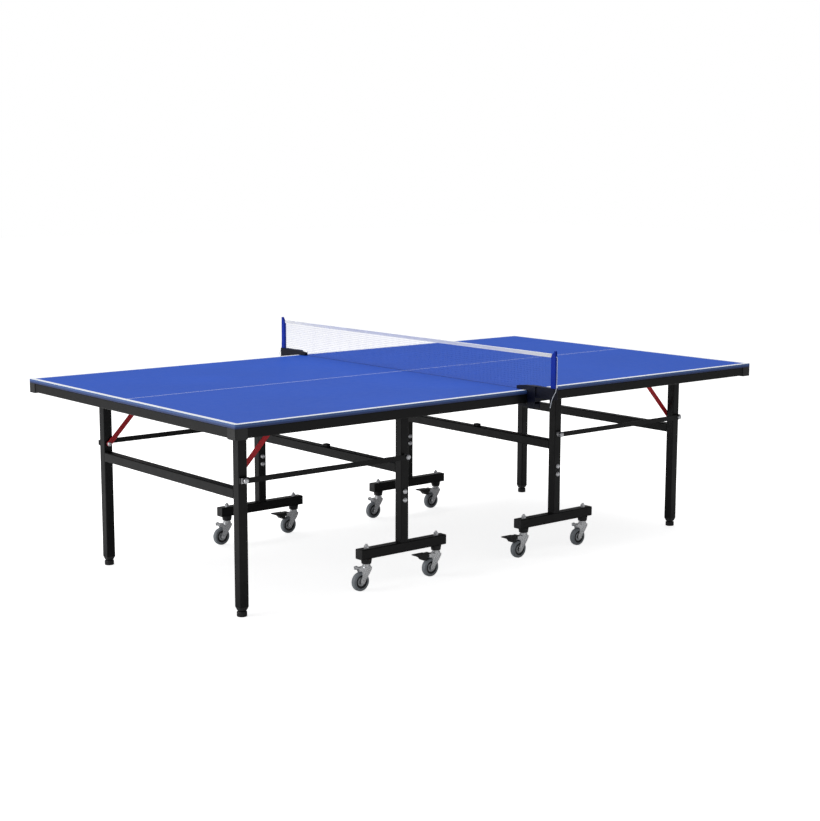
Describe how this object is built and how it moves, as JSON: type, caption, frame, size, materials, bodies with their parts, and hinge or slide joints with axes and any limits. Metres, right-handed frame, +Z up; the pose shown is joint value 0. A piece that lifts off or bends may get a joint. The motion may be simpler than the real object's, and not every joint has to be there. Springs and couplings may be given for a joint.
{
  "type": "table tennis table",
  "caption": "Folding table-tennis table in two wheeled halves with a clip-on net, hinged end legs, link bars, braces and swivelling braked casters.",
  "frame": {"origin": "on the floor under the middle of the net", "axes": "+X along the table's length, +Y across it, +Z up"},
  "size_m": [2.74, 1.8296, 0.925],
  "materials": {
    "playing_board": "matt blue painted board with white lines",
    "black_powder_coat": "satin black powder coat",
    "red_powder_coat": "satin red powder coat",
    "black_plastic": "moulded matt black plastic",
    "black_rubber": "soft black rubber",
    "bright_zinc": "bright plated steel",
    "blue_gloss_metal": "semi-gloss deep blue paint",
    "net_mesh": "knotted nylon mesh with a white cotton band",
    "white_cord": "braided cord",
    "grey_tyre": "grey rubber tyre on a black and white plastic hub"
  },
  "bodies": {
    "left_stand": {"left_stand_base": "black_powder_coat", "left_stand_frame": "black_powder_coat", "left_beam_end_caps": "black_plastic", "left_stand_bolts": "bright_zinc", "left_crossbar_buffer": "black_rubber", "left_caster_collars": "black_plastic", "left_caster_stems": "bright_zinc"},
    "left_top": {"left_tabletop": "playing_board", "left_apron_frame": "black_powder_coat", "left_corner_guards": "black_plastic", "left_pivot_brackets": "black_powder_coat", "net_posts": "blue_gloss_metal", "net_clamps": "black_powder_coat", "net": "net_mesh", "net_cords": "white_cord"},
    "left_legs": {"left_leg_frame": "black_powder_coat", "left_leg_bolts": "bright_zinc"},
    "left_links": {"left_link_bars": "black_powder_coat"},
    "left_braces": {"left_braces": "red_powder_coat"},
    "left_near_foot": {"left_near_foot": "black_plastic"},
    "left_far_foot": {"left_far_foot": "black_plastic"},
    "right_stand": {"right_stand_base": "black_powder_coat", "right_stand_frame": "black_powder_coat", "right_beam_end_caps": "black_plastic", "right_stand_bolts": "bright_zinc", "right_crossbar_buffer": "black_rubber", "right_caster_collars": "black_plastic", "right_caster_stems": "bright_zinc"},
    "right_top": {"right_tabletop": "playing_board", "right_apron_frame": "black_powder_coat", "right_corner_guards": "black_plastic", "right_pivot_brackets": "black_powder_coat"},
    "right_legs": {"right_leg_frame": "black_powder_coat", "right_leg_bolts": "bright_zinc"},
    "right_links": {"right_link_bars": "black_powder_coat"},
    "right_braces": {"right_braces": "red_powder_coat"},
    "right_near_foot": {"right_near_foot": "black_plastic"},
    "right_far_foot": {"right_far_foot": "black_plastic"},
    "near_clamp_jaw": {"near_clamp_jaw": "black_plastic"},
    "far_clamp_jaw": {"far_clamp_jaw": "black_plastic"},
    "left_near_inner_fork": {"left_near_inner_fork": "bright_zinc"},
    "left_near_inner_wheel": {"left_near_inner_wheel": "grey_tyre"},
    "left_near_inner_pedal": {"left_near_inner_pedal": "black_plastic"},
    "left_near_outer_fork": {"left_near_outer_fork": "bright_zinc"},
    "left_near_outer_wheel": {"left_near_outer_wheel": "grey_tyre"},
    "left_far_inner_fork": {"left_far_inner_fork": "bright_zinc"},
    "left_far_inner_wheel": {"left_far_inner_wheel": "grey_tyre"},
    "left_far_inner_pedal": {"left_far_inner_pedal": "black_plastic"},
    "left_far_outer_fork": {"left_far_outer_fork": "bright_zinc"},
    "left_far_outer_wheel": {"left_far_outer_wheel": "grey_tyre"},
    "right_near_inner_fork": {"right_near_inner_fork": "bright_zinc"},
    "right_near_inner_wheel": {"right_near_inner_wheel": "grey_tyre"},
    "right_near_inner_pedal": {"right_near_inner_pedal": "black_plastic"},
    "right_near_outer_fork": {"right_near_outer_fork": "bright_zinc"},
    "right_near_outer_wheel": {"right_near_outer_wheel": "grey_tyre"},
    "right_far_inner_fork": {"right_far_inner_fork": "bright_zinc"},
    "right_far_inner_wheel": {"right_far_inner_wheel": "grey_tyre"},
    "right_far_outer_fork": {"right_far_outer_fork": "bright_zinc"},
    "right_far_outer_wheel": {"right_far_outer_wheel": "grey_tyre"},
    "right_far_outer_pedal": {"right_far_outer_pedal": "black_plastic"}
  },
  "joints": [
    {"name": "halves_roll_apart", "type": "slide", "parent": "left_stand", "child": "right_stand", "axis": [1, 0, 0], "range_m": [0, 0.35]},
    {"name": "left_top_fold", "type": "hinge", "parent": "left_stand", "child": "left_top", "pos_m": [-0.42, 0, 0.72], "axis": [0, 1, 0], "range_deg": [0, 90]},
    {"name": "left_legs_swing", "type": "hinge", "parent": "left_top", "child": "left_legs", "pos_m": [-1.173, 0, 0.72], "axis": [0, 1, 0], "range_deg": [-90, 0]},
    {"name": "left_links_swing", "type": "hinge", "parent": "left_stand", "child": "left_links", "pos_m": [-0.42, 0, 0.507], "axis": [0, 1, 0], "range_deg": [0, 90]},
    {"name": "left_braces_swing", "type": "hinge", "parent": "left_top", "child": "left_braces", "pos_m": [-0.968, 0, 0.72], "axis": [0, 1, 0], "range_deg": [0, 46.1]},
    {"name": "left_near_foot_turn", "type": "hinge", "parent": "left_legs", "child": "left_near_foot", "pos_m": [-1.173, -0.4895, 0.01], "axis": [0, 0, 1], "continuous": true},
    {"name": "left_near_inner_swivel", "type": "hinge", "parent": "left_stand", "child": "left_near_inner_fork", "pos_m": [-0.243, -0.4895, 0.098], "axis": [0, 0, 1], "continuous": true},
    {"name": "left_near_inner_roll", "type": "hinge", "parent": "left_near_inner_fork", "child": "left_near_inner_wheel", "pos_m": [-0.273, -0.4895, 0.0375], "axis": [0, 1, 0], "continuous": true},
    {"name": "left_near_inner_brake", "type": "hinge", "parent": "left_near_inner_fork", "child": "left_near_inner_pedal", "pos_m": [-0.285, -0.4895, 0.092], "axis": [0, -1, 0], "range_deg": [0, 10]},
    {"name": "left_near_outer_swivel", "type": "hinge", "parent": "left_stand", "child": "left_near_outer_fork", "pos_m": [-0.597, -0.4895, 0.098], "axis": [0, 0, 1], "continuous": true},
    {"name": "left_near_outer_roll", "type": "hinge", "parent": "left_near_outer_fork", "child": "left_near_outer_wheel", "pos_m": [-0.627, -0.4895, 0.0375], "axis": [0, 1, 0], "continuous": true},
    {"name": "left_far_foot_turn", "type": "hinge", "parent": "left_legs", "child": "left_far_foot", "pos_m": [-1.173, 0.4895, 0.01], "axis": [0, 0, 1], "continuous": true},
    {"name": "left_far_inner_swivel", "type": "hinge", "parent": "left_stand", "child": "left_far_inner_fork", "pos_m": [-0.243, 0.4895, 0.098], "axis": [0, 0, 1], "continuous": true},
    {"name": "left_far_inner_roll", "type": "hinge", "parent": "left_far_inner_fork", "child": "left_far_inner_wheel", "pos_m": [-0.273, 0.4895, 0.0375], "axis": [0, 1, 0], "continuous": true},
    {"name": "left_far_inner_brake", "type": "hinge", "parent": "left_far_inner_fork", "child": "left_far_inner_pedal", "pos_m": [-0.285, 0.4895, 0.092], "axis": [0, -1, 0], "range_deg": [0, 10]},
    {"name": "left_far_outer_swivel", "type": "hinge", "parent": "left_stand", "child": "left_far_outer_fork", "pos_m": [-0.597, 0.4895, 0.098], "axis": [0, 0, 1], "continuous": true},
    {"name": "left_far_outer_roll", "type": "hinge", "parent": "left_far_outer_fork", "child": "left_far_outer_wheel", "pos_m": [-0.627, 0.4895, 0.0375], "axis": [0, 1, 0], "continuous": true},
    {"name": "right_top_fold", "type": "hinge", "parent": "right_stand", "child": "right_top", "pos_m": [0.42, 0, 0.72], "axis": [0, -1, 0], "range_deg": [0, 90]},
    {"name": "right_legs_swing", "type": "hinge", "parent": "right_top", "child": "right_legs", "pos_m": [1.173, 0, 0.72], "axis": [0, -1, 0], "range_deg": [-90, 0]},
    {"name": "right_links_swing", "type": "hinge", "parent": "right_stand", "child": "right_links", "pos_m": [0.42, 0, 0.507], "axis": [0, -1, 0], "range_deg": [0, 90]},
    {"name": "right_braces_swing", "type": "hinge", "parent": "right_top", "child": "right_braces", "pos_m": [0.968, 0, 0.72], "axis": [0, -1, 0], "range_deg": [0, 46.1]},
    {"name": "right_near_foot_turn", "type": "hinge", "parent": "right_legs", "child": "right_near_foot", "pos_m": [1.173, -0.4895, 0.01], "axis": [0, 0, 1], "continuous": true},
    {"name": "right_near_inner_swivel", "type": "hinge", "parent": "right_stand", "child": "right_near_inner_fork", "pos_m": [0.243, -0.4895, 0.098], "axis": [0, 0, 1], "continuous": true},
    {"name": "right_near_inner_roll", "type": "hinge", "parent": "right_near_inner_fork", "child": "right_near_inner_wheel", "pos_m": [0.213, -0.4895, 0.0375], "axis": [0, 1, 0], "continuous": true},
    {"name": "right_near_inner_brake", "type": "hinge", "parent": "right_near_inner_fork", "child": "right_near_inner_pedal", "pos_m": [0.201, -0.4895, 0.092], "axis": [0, -1, 0], "range_deg": [0, 10]},
    {"name": "right_near_outer_swivel", "type": "hinge", "parent": "right_stand", "child": "right_near_outer_fork", "pos_m": [0.597, -0.4895, 0.098], "axis": [0, 0, 1], "continuous": true},
    {"name": "right_near_outer_roll", "type": "hinge", "parent": "right_near_outer_fork", "child": "right_near_outer_wheel", "pos_m": [0.567, -0.4895, 0.0375], "axis": [0, 1, 0], "continuous": true},
    {"name": "right_far_foot_turn", "type": "hinge", "parent": "right_legs", "child": "right_far_foot", "pos_m": [1.173, 0.4895, 0.01], "axis": [0, 0, 1], "continuous": true},
    {"name": "right_far_inner_swivel", "type": "hinge", "parent": "right_stand", "child": "right_far_inner_fork", "pos_m": [0.243, 0.4895, 0.098], "axis": [0, 0, 1], "continuous": true},
    {"name": "right_far_inner_roll", "type": "hinge", "parent": "right_far_inner_fork", "child": "right_far_inner_wheel", "pos_m": [0.213, 0.4895, 0.0375], "axis": [0, 1, 0], "continuous": true},
    {"name": "right_far_outer_swivel", "type": "hinge", "parent": "right_stand", "child": "right_far_outer_fork", "pos_m": [0.597, 0.4895, 0.098], "axis": [0, 0, 1], "continuous": true},
    {"name": "right_far_outer_roll", "type": "hinge", "parent": "right_far_outer_fork", "child": "right_far_outer_wheel", "pos_m": [0.567, 0.4895, 0.0375], "axis": [0, 1, 0], "continuous": true},
    {"name": "right_far_outer_brake", "type": "hinge", "parent": "right_far_outer_fork", "child": "right_far_outer_pedal", "pos_m": [0.555, 0.4895, 0.092], "axis": [0, -1, 0], "range_deg": [0, 10]},
    {"name": "near_clamp_open", "type": "hinge", "parent": "left_top", "child": "near_clamp_jaw", "pos_m": [0, -0.7895, 0.704], "axis": [-1, 0, 0], "range_deg": [0, 20], "stiffness_Nm_per_rad": 0.5, "springref_deg": -5.73},
    {"name": "far_clamp_open", "type": "hinge", "parent": "left_top", "child": "far_clamp_jaw", "pos_m": [0, 0.7895, 0.704], "axis": [1, 0, 0], "range_deg": [0, 20], "stiffness_Nm_per_rad": 0.5, "springref_deg": -5.73}
  ],
  "couplings": [
    {"joint": "left_top_fold", "follows": "halves_roll_apart", "rad_per_m": 4.488},
    {"joint": "left_legs_swing", "follows": "halves_roll_apart", "rad_per_m": -4.488},
    {"joint": "left_links_swing", "follows": "halves_roll_apart", "rad_per_m": 4.488},
    {"joint": "left_braces_swing", "follows": "halves_roll_apart", "rad_per_m": 2.2986},
    {"joint": "right_legs_swing", "follows": "right_top_fold", "ratio": -1},
    {"joint": "right_links_swing", "follows": "right_top_fold", "ratio": 1},
    {"joint": "right_braces_swing", "follows": "right_top_fold", "ratio": 0.51218}
  ]
}
